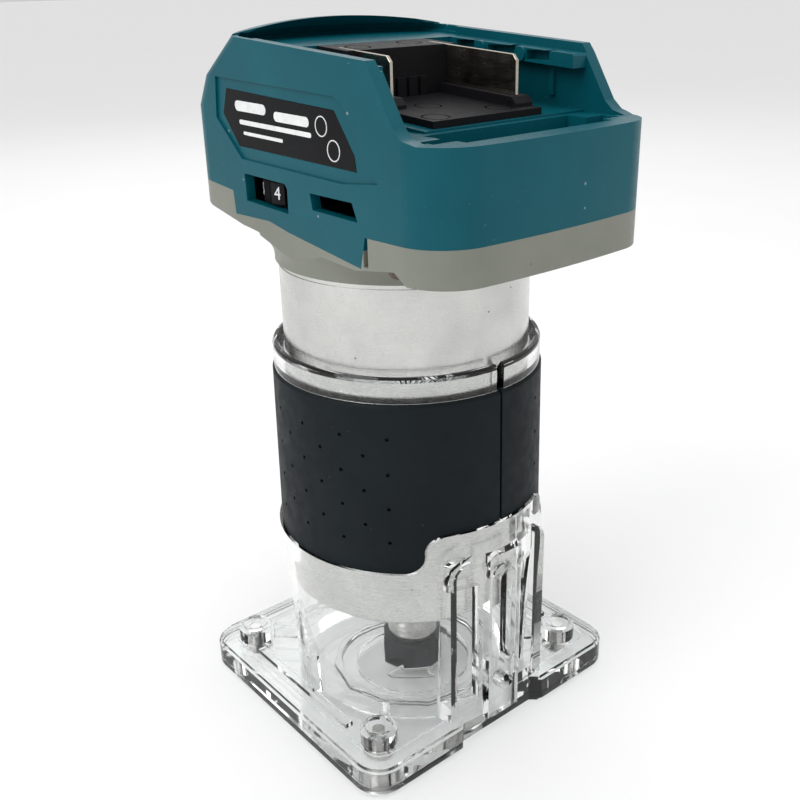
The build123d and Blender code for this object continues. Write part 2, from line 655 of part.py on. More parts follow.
def rear_lean(z):
    """How far the rear wall has leaned forward at a height above its bend."""
    return 4.5 + (z - REAR_BEND_Z) * 1.46


def bay_well(inset, low, high, front):
    """Space inside the leaning walls, between two tilted heights and behind a front line."""
    with BuildPart() as space:
        for z in (REAR_BEND_Z, HEAD_TOP_Z + 2):
            with BuildSketch(Plane.XY.offset(z)):
                head_plan(inset, rear_lean(z))
        loft(ruled=True)
        band = [(front, tilted(front, low)), (60, tilted(60, low)), (60, tilted(60, high)),
                (front, tilted(front, high))]
        side_shape(band, (-40, 40), mode=Mode.INTERSECT)
    return space.part


# Joint line between the teal halves and the grey lower housing, seen from the side.
SEAM = [(-60, SEAM_Z + 0.2), (-28.0, SEAM_Z - 0.3), (-26.3, 136.0), (1.2, 139.4), (9.6, 140.9),
        (25.0, 140.5), (25.6, 146.3), (60, 149.6)]
# Underside of the grey housing, seen from the side.
UNDERSIDE = [(60, 146.5), (47, 144.0), (39, 141.4), (22, 138.1), (9.6, 136.9), (-24, 135.2), (-37.5, 137.4),
             (-41.5, CHIN_Z), (-60, CHIN_Z)]

with BuildPart() as head_envelope:
    with BuildSketch(Plane.XY.offset(120)):
        head_plan()
    extrude(amount=46)
    with BuildSketch(Plane.XY.offset(166)):
        head_plan()
    for z in (REAR_BEND_Z, HEAD_TOP_Z):
        with BuildSketch(Plane.XY.offset(z)):
            head_plan(0, rear_lean(z))
    loft(ruled=True)
    # front cut-away above the lip, the tilted rim and the crowned rear rim
    rim = [(-70, 190), (-70, LIP_Z), (-44.5, LIP_Z), (-40.6, 164.6), (-38.2, 166.6), (-31.6, 177.0),
           (-30.0, tilted(-30, RIM_MID_Z)), (RIM_REAR_Y, tilted(RIM_REAR_Y, RIM_MID_Z)), (RIM_REAR_Y, 190)]
    side_shape(rim, (-40, 40), mode=Mode.SUBTRACT)
    rim_end_z = tilted(RIM_REAR_Y, RIM_MID_Z)
    with BuildSketch(XZ_FRONT.offset(-RIM_REAR_Y)):
        with BuildLine():
            Polyline((-HEAD_X, rim_end_z), (-HEAD_X - 6, rim_end_z), (-HEAD_X - 6, 195), (HEAD_X + 6, 195),
                     (HEAD_X + 6, rim_end_z), (HEAD_X, rim_end_z))
            ThreePointArc((HEAD_X, rim_end_z), (0, RIM_CROWN_Z), (-HEAD_X, rim_end_z))
        make_face()
    extrude(amount=-40, mode=Mode.SUBTRACT)
head = head_envelope.part

with BuildPart() as cavity_solid:
    with BuildSketch(Plane.XY.offset(139.4)):
        head_plan(WALL)
    extrude(amount=15.2)
    with BuildSketch(Plane.XY.offset(150)):
        head_plan(WALL)
    extrude(amount=10.6)
    block((-40, 40), (-60, -31), (154.6, 170), mode=Mode.SUBTRACT)
    block((-27, 27), (BAY_REAR + WALL, 38), (155, 172))
    block((-27, 27), (BAY_REAR + WALL, 31), (172, 175.6))
    floor_side = [(y, z + 2.4) for y, z in UNDERSIDE] + [(-60, 100), (60, 100)]
    side_shape(floor_side, (-40, 40), mode=Mode.SUBTRACT)
cavity = cavity_solid.part

rim_well = bay_well(2.8, LEDGE_Z, 200, -60)
rear_groove = bay_well(1.5, LEDGE_Z + 0.6, LEDGE_Z + 2.4, 14)

with BuildPart() as teal_shell:
    add(head)
    below = [(p[0], p[1]) for p in SEAM] + [(60, 100), (-60, 100)]
    side_shape(below, (-40, 40), mode=Mode.SUBTRACT)
    add(cavity, mode=Mode.SUBTRACT)
    with BuildSketch(Plane.XY.offset(130)):
        head_plan(WALL)
    extrude(amount=12, mode=Mode.SUBTRACT)
    # battery bay: floor, rail recess below the ledges, mouth between them
    bay_low = [(-42.5, tilted(-42.5, BAY_MID_Z)), (BAY_REAR, tilted(BAY_REAR, BAY_MID_Z)),
               (BAY_REAR, tilted(BAY_REAR, 176.0)), (-42.5, tilted(-42.5, 176.0))]
    side_shape(bay_low, (-RAIL_RECESS_X, RAIL_RECESS_X), mode=Mode.SUBTRACT)
    bay_mouth = [(-42.5, 168), (BAY_REAR, tilted(BAY_REAR, 168)), (BAY_REAR, 190), (-42.5, 190)]
    side_shape(bay_mouth, (-RAIL_X, RAIL_X), mode=Mode.SUBTRACT)
    add(rim_well, mode=Mode.SUBTRACT)
    add(rear_groove, mode=Mode.SUBTRACT)
    # ledges start behind the sloping front edges
    block((-RAIL_RECESS_X, RAIL_RECESS_X), (-44.6, -32), (LIP_Z, 190), mode=Mode.SUBTRACT)
    block((-RAIL_RECESS_X, -20), (-32.5, -26), (LIP_Z, 190), mode=Mode.SUBTRACT)
    # latch trough behind the lip, with its two end pockets
    block((-22.5, 22.5), (-47.5, -34), (157.4, 168), mode=Mode.SUBTRACT)
    for side in (-1, 1):
        block((side * 25.5 - 3.2, side * 25.5 + 3.2), (-44.5, -39.5), (160.5, 168), mode=Mode.SUBTRACT)
        # slots along the ledges with round bosses between them
        for low, far in ((-24.5, -17), (-13.2, -3.6), (1.4, 8.0)):
            middle = (low + far) / 2
            with Locations((side * 27.4, middle, tilted(middle, 177.9))):
                Box(3.2, far - low, 2.2, mode=Mode.SUBTRACT)
        for y in (-15.1, -1.1):
            rod_x((side * 26.6 - 1.2, side * 26.6 + 1.2), y, tilted(y, 177.6), 1.7)
        # upright ribs in the side walls below the ledges
        for y in (-22, -8, 6):
            block((side * 30.2 - 0.6, side * 30.2 + 0.6), (y - 0.8, y + 0.8), (167, 174.6))
    # screw posts along X
    for y, z in HOUSING_SCREWS:
        rod_x((-HEAD_X + 5, HEAD_X - 3), y, z, 3.6)
        rod_x((-24, HEAD_X + 2), y, z, 1.5, mode=Mode.SUBTRACT)
        rod_x((0, HEAD_X + 2), y, z, 1.8, mode=Mode.SUBTRACT)
        rod_x((HEAD_X - 3.6, HEAD_X + 2), y, z, 3.3, mode=Mode.SUBTRACT)
    # rating plate recess with its wider frame
    side_shape(LABEL_FRAME, (-HEAD_X - 1, -HEAD_X + 0.6), mode=Mode.SUBTRACT)
    side_shape(LABEL, (-HEAD_X - 1, -HEAD_X + 1.3), mode=Mode.SUBTRACT)
    # dial window, vents and button holes
    side_shape(DIAL_WINDOW, (-HEAD_X - 1, -HEAD_X + 4), mode=Mode.SUBTRACT)
    for side in (-1, 1):
        side_shape(VENT, (side * HEAD_X - 4, side * HEAD_X + 4), mode=Mode.SUBTRACT)
    for y in (POWER_Y, LOCK_Y):
        with BuildSketch(YZ.offset(HEAD_X - 5)):
            with Locations((y, BUTTON_Z)):
                RectangleRounded(9.6, 7.6, 2.6)
        extrude(amount=8, mode=Mode.SUBTRACT)

with BuildPart() as housing_left:
    add(teal_shell.part)
    block((0, 50), (-70, 70), (100, 200), mode=Mode.SUBTRACT)
save(housing_left, "housing_left")

with BuildPart() as housing_right:
    add(teal_shell.part)
    block((-50, 0), (-70, 70), (100, 200), mode=Mode.SUBTRACT)
save(housing_right, "housing_right")

# Prism of the head's plan, for trimming the grey parts.
with BuildPart() as head_column:
    with BuildSketch(Plane.XY.offset(120)):
        head_plan()
    extrude(amount=32)
head_prism = head_column.part

# Flared neck between the collar and the underside of the head, up to the rear sweep.
with BuildPart() as collar_flare:
    with BuildSketch(Plane.XZ):
        with BuildLine():
            Line((20, COLLAR_Z), (COLLAR_R, COLLAR_Z))
            Spline((COLLAR_R, COLLAR_Z), (COLLAR_R + 0.3, 132.5), (COLLAR_R + 3.5, 136.6))
            Polyline((COLLAR_R + 3.5, 136.6), (COLLAR_R + 3.5, NECK_TOP_Z), (20, NECK_TOP_Z), (20, COLLAR_Z))
        make_face()
    revolve(axis=Axis.Z)
    side_shape(SEAM + [(60, 200), (-60, 200)], (-40, 40), mode=Mode.SUBTRACT)
    add(head_prism, mode=Mode.INTERSECT)

# Grey lower housing: chin, rear sweep and the collar on the barrel.
with BuildPart() as lower_housing:
    add(head_prism)
    side_shape(SEAM + [(60, 200), (-60, 200)], (-40, 40), mode=Mode.SUBTRACT)
    side_shape(UNDERSIDE + [(-60, 100), (60, 100)], (-40, 40), mode=Mode.SUBTRACT)
    add(collar_flare.part)
    add(cavity, mode=Mode.SUBTRACT)
    post(0, 0, (134.6, 145), 29.5, mode=Mode.SUBTRACT)
    post(0, 0, (120, 134), BARREL_R + 0.04, mode=Mode.SUBTRACT)
    post(0, 0, (120, 140), 28.2, mode=Mode.SUBTRACT)
    block((-29, 29), (-50, -43.5), (137.4, 141), mode=Mode.SUBTRACT)
    # narrow gaps beside the side flaps, collar screw holes and lamp holes
    for side in (-1, 1):
        block((side * 33.5 - 1.4, side * 33.5 + 1.4), (-28.9, -27.3), (136.6, 144), mode=Mode.SUBTRACT)
        post(side * COLLAR_SCREW[0], COLLAR_SCREW[1], (137.5, 141.5), 3.2)
        post(side * COLLAR_SCREW[0], COLLAR_SCREW[1], (130, 142), 1.6, mode=Mode.SUBTRACT)
        post(side * COLLAR_SCREW[0], COLLAR_SCREW[1], (130, 137.2), 3.4, mode=Mode.SUBTRACT)
        post(side * LAMP[0], LAMP[1], (130, 140), 2.6, mode=Mode.SUBTRACT)
save(lower_housing, "lower_housing")


# ---- fittings of the battery bay ----

def bay_band(front, rear, low, high, nose=0.0):
    """Side outline of a piece lying along the tilted bay, with its top front corner cut by the nose."""
    return [(front, tilted(front, low)), (rear, tilted(rear, low)), (rear, tilted(rear, high)),
            (front + nose, tilted(front + nose, high)), (front, tilted(front, high - nose - 0.01))]


with BuildPart() as bay_floor_plate:
    side_shape(bay_band(-31, BAY_REAR - 0.1, BAY_MID_Z, BAY_MID_Z + 1.6), (-BLOCK_HALF_W, BLOCK_HALF_W))
    for side, front in ((-1, LEFT_BLADE_FRONT - 1.6), (1, RIGHT_BLADE_FRONT - 2.4)):
        side_shape(bay_band(front, BLOCK_FRONT_Y, BAY_MID_Z + 1, BAY_MID_Z + 3.8, 1.4),
                   (side * BLADE_X - 2.8, side * BLADE_X + 2.8))
    # ejector marks
    for mark_x, mark_y in ((-4.5, -15.3), (8.0, -25.8), (-12.5, -27.0)):
        mark_z = tilted(mark_y, BAY_MID_Z + 1.6)
        tube((mark_z - 0.3, mark_z + 1), 3.3, 2.9, mark_x, mark_y, mode=Mode.SUBTRACT)
save(bay_floor_plate, "bay_floor_plate")

with BuildPart() as terminal_block:
    side_shape(bay_band(BLOCK_FRONT_Y, BAY_REAR - 0.1, BAY_MID_Z + 1.6, BLOCK_MID_Z),
               (-BLOCK_HALF_W, BLOCK_HALF_W))
    for side in (-1, 1):
        block((side * BLADE_X - 0.45, side * BLADE_X + 0.45), (BLOCK_FRONT_Y - 1, BLADE_REAR), (150, 190),
              mode=Mode.SUBTRACT)
    # ejector marks
    for mark_x, mark_y in ((-9.8, 3.6), (7.4, 5.2)):
        mark_z = tilted(mark_y, BLOCK_MID_Z)
        tube((mark_z - 0.35, mark_z + 1), 3.2, 2.8, mark_x, mark_y, mode=Mode.SUBTRACT)
save(terminal_block, "terminal_block")

# Positive and negative battery blades, standing parallel to the slide direction.
with BuildPart() as terminal_blades:
    for side, front in ((-1, LEFT_BLADE_FRONT), (1, RIGHT_BLADE_FRONT)):
        blade = (side * BLADE_X - 0.45, side * BLADE_X + 0.45)
        side_shape(bay_band(front, BLOCK_FRONT_Y, BAY_MID_Z + 3.8, BLOCK_MID_Z, 1.2), blade)
        side_shape(bay_band(BLOCK_FRONT_Y, BLADE_REAR, BAY_MID_Z + 1.6, BLOCK_MID_Z), blade)
save(terminal_blades, "terminal_blades")

with BuildPart() as signal_connector:
    side_shape(bay_band(BLOCK_FRONT_Y - 1.4, BLOCK_FRONT_Y, BAY_MID_Z + 1.6, BAY_MID_Z + 6), (-6, 6))
    for slot_x in (-3.6, 0, 3.6):
        block((slot_x - 0.5, slot_x + 0.5), (-10, BLOCK_FRONT_Y - 0.6), (150, 190), mode=Mode.SUBTRACT)
save(signal_connector, "signal_connector")


# ---- controls and electronics in the head ----

with BuildPart() as label_plate:
    side_shape(LABEL, (-HEAD_X + 0.5, -HEAD_X + 1.3))
save(label_plate, "label_plate")

with BuildPart() as speed_dial:
    with BuildSketch(Plane.XY.offset(DIAL_Z[0])):
        with Locations((DIAL_X, DIAL_Y)):
            RegularPolygon(DIAL_R, 30)
            Circle(1.58, mode=Mode.SUBTRACT)
    extrude(amount=DIAL_Z[1] - DIAL_Z[0])
save(speed_dial, "speed_dial")

with BuildPart() as potentiometer:
    post(DIAL_X, DIAL_Y, (DIAL_Z[1] + 0.4, BOARD_Z[0]), 6.0)
    post(DIAL_X, DIAL_Y, (DIAL_Z[0] - 0.4, DIAL_Z[1] + 1), 1.5)
save(potentiometer, "potentiometer")

with BuildPart() as control_board:
    block((-27, 27), (-29, 34), BOARD_Z)
save(control_board, "control_board")

with BuildPart() as board_capacitors:
    for y in (-20, -8.2):
        post(-17, y, (144.6, BOARD_Z[0]), 5.0)
save(board_capacitors, "board_capacitors")

with BuildPart() as heat_sink:
    block((-4, 22), (-20, 8), (147, BOARD_Z[0]))
    for groove in range(5):
        block((-1.2 + 5 * groove, 1.2 + 5 * groove), (-21, 9), (146, 152.6), mode=Mode.SUBTRACT)
save(heat_sink, "heat_sink")

with BuildPart() as switch_board:
    block((26.4, 27.6), (-8, 22), (143, 153.6))
save(switch_board, "switch_board")

with BuildPart() as tactile_switches:
    for y in (POWER_Y, LOCK_Y):
        block((27.6, 29.2), (y - 2.6, y + 2.6), (BUTTON_Z - 2.6, BUTTON_Z + 2.6))
save(tactile_switches, "tactile_switches")


def push_button(y, name):
    """Sprung push button with its inner flange, pressed along -X."""
    with BuildPart() as button:
        inner_face = HEAD_X - WALL
        with BuildSketch(YZ.offset(inner_face - 1.05)):
            with Locations((y, BUTTON_Z)):
                RectangleRounded(11.4, 9.4, 3.2)
        extrude(amount=1.0)
        with BuildSketch(YZ.offset(inner_face - 0.2)):
            with Locations((y, BUTTON_Z)):
                RectangleRounded(9.0, 7.0, 2.4)
        extrude(amount=WALL + 0.8)
        fillet(button.edges().group_by(Axis.X)[-1], 0.7)
    save(button, name)


push_button(POWER_Y, "power_button")
push_button(LOCK_Y, "lock_button")

with BuildPart() as lamp_lenses:
    for side in (-1, 1):
        post(side * LAMP[0], LAMP[1], (CHIN_Z + 0.2, 137.4), 2.55)
save(lamp_lenses, "lamp_lenses")

with BuildPart() as lamp_board:
    block((-20, 20), (-49.2, -44.2), (137.5, 138.7))
save(lamp_board, "lamp_board")

with BuildPart() as housing_screws:
    for y, z in HOUSING_SCREWS:
        rod_x((-20, HEAD_X - 3.6), y, z, 1.5)
        rod_x((HEAD_X - 3.6, HEAD_X - 1.6), y, z, 3.0)
        with BuildSketch(YZ.offset(HEAD_X - 2.8)):
            with Locations((y, z)):
                RegularPolygon(1.4, 6)
        extrude(amount=2, mode=Mode.SUBTRACT)
save(housing_screws, "housing_screws")

with BuildPart() as collar_screws:
    for side in (-1, 1):
        post(side * COLLAR_SCREW[0], COLLAR_SCREW[1], (134.8, 137.2), 3.1)
        post(side * COLLAR_SCREW[0], COLLAR_SCREW[1], (137, 141.4), 1.5)
save(collar_screws, "collar_screws")
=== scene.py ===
"""Looks of the trim router: materials, rounded mouldings, fine detail, light and camera.

All lengths are metres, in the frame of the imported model. MM turns millimetres into metres.
"""

import json
import math

import bmesh
import bpy
from mathutils import Matrix, Vector

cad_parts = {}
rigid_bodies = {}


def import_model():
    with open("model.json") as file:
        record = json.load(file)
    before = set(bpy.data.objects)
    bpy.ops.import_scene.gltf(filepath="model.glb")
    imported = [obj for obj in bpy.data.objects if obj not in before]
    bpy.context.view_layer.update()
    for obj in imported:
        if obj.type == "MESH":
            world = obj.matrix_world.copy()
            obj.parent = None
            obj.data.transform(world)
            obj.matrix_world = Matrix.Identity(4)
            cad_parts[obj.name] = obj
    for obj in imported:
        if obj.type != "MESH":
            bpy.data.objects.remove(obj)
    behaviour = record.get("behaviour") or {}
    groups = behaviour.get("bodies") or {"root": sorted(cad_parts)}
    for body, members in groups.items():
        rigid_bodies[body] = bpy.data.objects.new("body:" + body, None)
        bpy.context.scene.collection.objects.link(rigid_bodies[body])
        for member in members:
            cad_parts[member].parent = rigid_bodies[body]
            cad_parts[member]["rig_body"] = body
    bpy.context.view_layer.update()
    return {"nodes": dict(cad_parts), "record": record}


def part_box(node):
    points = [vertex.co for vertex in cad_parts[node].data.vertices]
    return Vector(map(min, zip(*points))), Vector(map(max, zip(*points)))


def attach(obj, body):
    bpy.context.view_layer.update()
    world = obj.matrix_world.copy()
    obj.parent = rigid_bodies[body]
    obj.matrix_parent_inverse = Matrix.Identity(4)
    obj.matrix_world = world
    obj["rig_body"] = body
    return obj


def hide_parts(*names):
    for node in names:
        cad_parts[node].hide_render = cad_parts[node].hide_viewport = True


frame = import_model()
nodes = frame["nodes"]

MM = 0.001

# ---- measures shared with the mechanical model ----
SPINDLE_R = 7.2 * MM
ARROW_R = 35.5 * MM
NUT_TOP = 14.0 * MM
SUB_BASE_TOP = 3.2 * MM
GUIDE_HOLE_CENTRE = (1.2 * MM, 0.0, 14.5 * MM)

# ---- edges ----
BEVEL_SEGMENTS = 2
BEVEL_ANGLE = math.radians(32.0)
WELD = 0.002 * MM
FLAT_ANGLE = math.radians(0.4)
SUB_BASE_DROP = 0.06 * MM

# ---- speed dial ----
DIAL_FLUTES = 54
DIAL_STEPS = 540
DIAL_BORE_R = 1.6 * MM
DIAL_EDGE = 0.5 * MM
FLUTE_DEPTH = 0.9
FIELD_DEPTH = 0.10
FIELD_HALF_WIDTH = math.radians(11.0)
REST_NUMBER = 4
REST_ANGLE = 192.0
NUMBER_SPACING = 40.0
DIGIT_SIZE = 4.4 * MM

# ---- camera and stage ----
CAMERA_PLACE = (-0.15954, -0.19298, 0.19248)
CAMERA_AZIMUTH = -39.1
CAMERA_ELEVATION = 22.78
CAMERA_ROLL = -1.53
LENS = 44.35
SENSOR = 36.0
FLOOR_HALF = 40.0
FLOOR_Z = -0.3 * MM
WORLD_LOW = 0.62
WORLD_HIGH = 0.95
LAMP_AIM = (0.0, 0.0, 0.09)
# name, azimuth, elevation, distance, size, power
LAMPS = (
    ("key", -88.0, 40.0, 1.1, 0.6, 3.6),
    ("top", -20.0, 80.0, 1.0, 0.8, 2.6),
    ("back", 150.0, 40.0, 1.2, 0.8, 2.0),
)
LIGHT_BOUNCES = 20


# ======================================================================
# Materials
# ======================================================================

class Surface:
    """A Principled material with the small node tools that the finishes share."""

    def __init__(self, name, colour, roughness, metallic=0.0, **sockets):
        self.material = bpy.data.materials.new(name)
        self.material.use_nodes = True
        self.tree = self.material.node_tree
        self.shader = self.tree.nodes["Principled BSDF"]
        self.shader.inputs["Base Color"].default_value = (*colour, 1.0)
        self.shader.inputs["Roughness"].default_value = roughness
        self.shader.inputs["Metallic"].default_value = metallic
        for socket, value in sockets.items():
            self.shader.inputs[socket.replace("_", " ")].default_value = value
        self.coords = self.tree.nodes.new("ShaderNodeTexCoord").outputs["Object"]

    def add(self, kind, **inputs):
        """A new node of this kind, with its input sockets set or linked by name."""
        node = self.tree.nodes.new(kind)
        for socket, value in inputs.items():
            self.feed(node.inputs[socket.replace("_", " ")], value)
        return node

    def feed(self, socket, value):
        """Sets a socket, or links it when the value comes from another node."""
        if isinstance(value, bpy.types.NodeSocket):
            self.tree.links.new(value, socket)
        else:
            socket.default_value = value

    def stretched(self, scale):
        """Object coordinates multiplied by three factors."""
        node = self.add("ShaderNodeVectorMath", Vector=self.coords)
        node.operation = "MULTIPLY"
        node.inputs[1].default_value = scale
        return node.outputs["Vector"]

    def noise(self, scale, detail=3.0, roughness=0.55, vector=None):
        """Cloudy noise over the object, or over another vector."""
        return self.add("ShaderNodeTexNoise", Vector=vector or self.coords, Scale=scale, Detail=detail,
                        Roughness=roughness).outputs["Fac"]

    def cells(self, scale):
        """Distance to the nearest of scattered points."""
        return self.add("ShaderNodeTexVoronoi", Vector=self.coords, Scale=scale).outputs["Distance"]

    def between(self, value, low, high, out_low=0.0, out_high=1.0):
        """A value carried from one range to another and held there."""
        node = self.add("ShaderNodeMapRange", Value=value, From_Min=low, From_Max=high, To_Min=out_low,
                        To_Max=out_high)
        return node.outputs["Result"]

    def mix(self, factor, first, second):
        """Blend of two colours, each a triple or another node's output."""
        node = self.tree.nodes.new("ShaderNodeMix")
        node.data_type = "RGBA"
        self.feed(node.inputs["Factor"], factor)
        for socket, value in ((node.inputs[6], first), (node.inputs[7], second)):
            self.feed(socket, value if isinstance(value, bpy.types.NodeSocket) else (*value, 1.0))
        return node.outputs[2]

    def maths(self, operation, first, second):
        """One sum on two values."""
        node = self.tree.nodes.new("ShaderNodeMath")
        node.operation = operation
        self.feed(node.inputs[0], first)
        self.feed(node.inputs[1], second)
        return node.outputs[0]

    def bump(self, height, strength, depth):
        """Adds relief to what the shader's normal already has."""
        node = self.add("ShaderNodeBump", Height=height, Strength=strength, Distance=depth)
        normal = self.shader.inputs["Normal"]
        if normal.is_linked:
            self.tree.links.new(normal.links[0].from_socket, node.inputs["Normal"])
        self.tree.links.new(node.outputs["Normal"], normal)

    def colour(self, socket):
        self.tree.links.new(socket, self.shader.inputs["Base Color"])

    def roughness(self, socket):
        self.tree.links.new(socket, self.shader.inputs["Roughness"])


def moulded(name, dark, light, roughness, gloss=0.25, grain=3200.0, grain_depth=0.02,
            speck=(0.55, 0.6, 0.6)):
    """Moulded plastic: cloudy colour, fine spark grain, a few pale scuffs and specks."""
    s = Surface(name, light, roughness, Specular_IOR_Level=gloss)
    cloud = s.between(s.noise(28.0, 4.0), 0.35, 0.68)
    body = s.mix(cloud, dark, light)
    speck_mask = s.between(s.cells(115.0), 0.045, 0.03)
    scuff = s.between(s.noise(1.0, 3.0, 0.6, s.stretched((180.0, 420.0, 2200.0))), 0.73, 0.80, 0.0, 0.30)
    s.colour(s.mix(s.maths("MAXIMUM", s.maths("MULTIPLY", speck_mask, 0.35), scuff), body, speck))
    s.roughness(s.between(s.noise(900.0, 3.0), 0.3, 0.7, roughness - 0.06, roughness + 0.08))
    s.bump(s.noise(grain, 2.0), 0.35, grain_depth * MM)
    return s.material


def teal():
    return moulded("teal plastic", (0.0006, 0.076, 0.102), (0.0012, 0.094, 0.122), 0.34, 0.17)


def grey():
    return moulded("grey plastic", (0.190, 0.200, 0.168), (0.235, 0.243, 0.212), 0.42,
                   speck=(0.04, 0.04, 0.035))


def black_plastic():
    return moulded("black plastic", (0.004, 0.004, 0.005), (0.009, 0.009, 0.011), 0.50, 0.12, 1700.0, 0.07,
                   (0.10, 0.10, 0.11))


def rubber():
    """Soft grip: matt, slightly blue black with a leathery grain and dust specks."""
    s = Surface("grip rubber", (0.008, 0.012, 0.014), 0.55, Specular_IOR_Level=0.10)
    cloud = s.between(s.noise(22.0, 4.0), 0.3, 0.7)
    body = s.mix(cloud, (0.0055, 0.0085, 0.010), (0.0095, 0.0140, 0.0165))
    dust = s.between(s.cells(210.0), 0.035, 0.02, 0.0, 0.5)
    s.colour(s.mix(dust, body, (0.16, 0.17, 0.17)))
    s.roughness(s.between(s.noise(300.0, 4.0), 0.3, 0.7, 0.46, 0.62))
    s.bump(s.noise(1300.0, 3.0), 0.5, 0.05 * MM)
    s.bump(s.cells(1500.0), 0.25, 0.04 * MM)
    return s.material


def clear():
    """Transparent moulding that lets lamps through to what is behind it."""
    s = Surface("clear plastic", (0.965, 0.972, 0.970), 0.03, IOR=1.40, Transmission_Weight=1.0)
    s.roughness(s.between(s.noise(60.0, 4.0), 0.35, 0.75, 0.015, 0.072))
    s.bump(s.noise(95.0, 2.0), 0.12, 0.25 * MM)
    glass = s.shader.outputs["BSDF"]
    path = s.tree.nodes.new("ShaderNodeLightPath")
    through = s.add("ShaderNodeBsdfTransparent", Color=(0.93, 0.94, 0.94, 1.0))
    blend = s.tree.nodes.new("ShaderNodeMixShader")
    s.tree.links.new(path.outputs["Is Shadow Ray"], blend.inputs["Fac"])
    s.tree.links.new(glass, blend.inputs[1])
    s.tree.links.new(through.outputs["BSDF"], blend.inputs[2])
    s.tree.links.new(blend.outputs["Shader"], s.tree.nodes["Material Output"].inputs["Surface"])
    return s.material


def metal(name, dark, light, roughness, lines=(0.0, 0.0, 0.0), depth=0.004, pits=0.0):
    """Worked metal: colour and roughness vary, tool lines run across the stretch given."""
    s = Surface(name, light, roughness, 1.0)
    cloud = s.between(s.noise(45.0, 4.0), 0.35, 0.7)
    body = s.mix(cloud, dark, light)
    if pits:
        body = s.mix(s.between(s.cells(150.0), pits, pits * 0.6, 0.0, 0.85), body, (0.06, 0.055, 0.05))
    s.colour(body)
    rough = s.noise(240.0, 4.0)
    if any(lines):
        grooves = s.noise(1.0, 2.0, 0.6, s.stretched(lines))
        rough = s.maths("MULTIPLY", s.maths("ADD", rough, grooves), 0.5)
        s.bump(grooves, 0.5, depth * MM)
    s.roughness(s.between(rough, 0.3, 0.7, roughness - 0.07, roughness + 0.10))
    return s.material


def printed_black():
    """Dark glossy film of the rating plate."""
    s = Surface("rating plate film", (0.006, 0.006, 0.008), 0.25, Specular_IOR_Level=0.1)
    s.colour(s.mix(s.between(s.noise(50.0, 4.0), 0.4, 0.8), (0.003, 0.003, 0.004), (0.006, 0.007, 0.009)))
    s.roughness(s.between(s.noise(220.0), 0.3, 0.7, 0.18, 0.36))
    return s.material


def print_white():
    """Pale ink of the rating plate and the dial."""
    s = Surface("pale print", (0.75, 0.76, 0.76), 0.5)
    s.colour(s.mix(s.between(s.noise(500.0, 3.0), 0.3, 0.7), (0.70, 0.71, 0.71), (0.80, 0.81, 0.81)))
    return s.material


def board():
    """Green board with paler tracks."""
    s = Surface("circuit board", (0.01, 0.09, 0.03), 0.4)
    tracks = s.between(s.cells(420.0), 0.25, 0.3)
    s.colour(s.mix(tracks, (0.02, 0.16, 0.06), (0.008, 0.075, 0.028)))
    s.bump(tracks, 0.3, 0.03 * MM)
    return s.material


def lamp_lens():
    """Frosted clear lens with a pebbled face."""
    s = Surface("lamp lens", (0.86, 0.88, 0.88), 0.2, Transmission_Weight=0.85, IOR=1.5)
    s.bump(s.cells(900.0), 0.4, 0.08 * MM)
    return s.material


# Stretch of the tool lines on turned metal, close together along the turning axis.
TURNED = (60.0, 60.0, 9000.0)

FINISHES = {
    "clear_plastic": clear,
    "lamp_lens": lamp_lens,
    "grip_rubber": rubber,
    "machined_aluminium": lambda: metal("machined aluminium", (0.51, 0.51, 0.495), (0.64, 0.64, 0.62), 0.25,
                                        TURNED, 0.008, 0.045),
    "steel": lambda: metal("bright steel", (0.52, 0.51, 0.50), (0.66, 0.65, 0.63), 0.26, TURNED),
    "copper_plated_steel": lambda: metal("copper plated steel", (0.055, 0.042, 0.036),
                                         (0.17, 0.13, 0.11), 0.30),
    "black_oxide_steel": lambda: metal("black oxide steel", (0.016, 0.019, 0.021),
                                       (0.040, 0.045, 0.050), 0.30, TURNED),
    "lamination_steel": lambda: metal("lamination steel", (0.20, 0.20, 0.21), (0.36, 0.36, 0.37), 0.42,
                                      (40.0, 40.0, 12000.0), 0.05),
    "copper_wire": lambda: metal("enamelled copper", (0.48, 0.16, 0.06), (0.72, 0.30, 0.12), 0.30,
                                 (3000.0, 3000.0, 60.0), 0.12),
    "magnet": lambda: metal("magnet plating", (0.28, 0.28, 0.29), (0.42, 0.42, 0.43), 0.36),
    "brass": lambda: metal("brass", (0.55, 0.38, 0.14), (0.78, 0.56, 0.24), 0.28),
    "teal_plastic": teal,
    "grey_plastic": grey,
    "black_plastic": black_plastic,
    "label_black": printed_black,
    "circuit_board": board,
    "blade_metal": lambda: metal("blade metal", (0.36, 0.33, 0.28), (0.62, 0.57, 0.48), 0.20,
                                 (200.0, 200.0, 2500.0), 0.01, 0.05),
}
materials = {slot: make() for slot, make in FINISHES.items()}
materials["pale_print"] = print_white()

slot_of = {part["node"]: part["material_slot"] for part in frame["record"]["subparts"]}


def dress(obj, material):
    """Gives an object this one material."""
    obj.data.materials.clear()
    obj.data.materials.append(material)


for name, obj in nodes.items():
    dress(obj, materials[slot_of[name]])


# ======================================================================
# Rounded mouldings
# ======================================================================

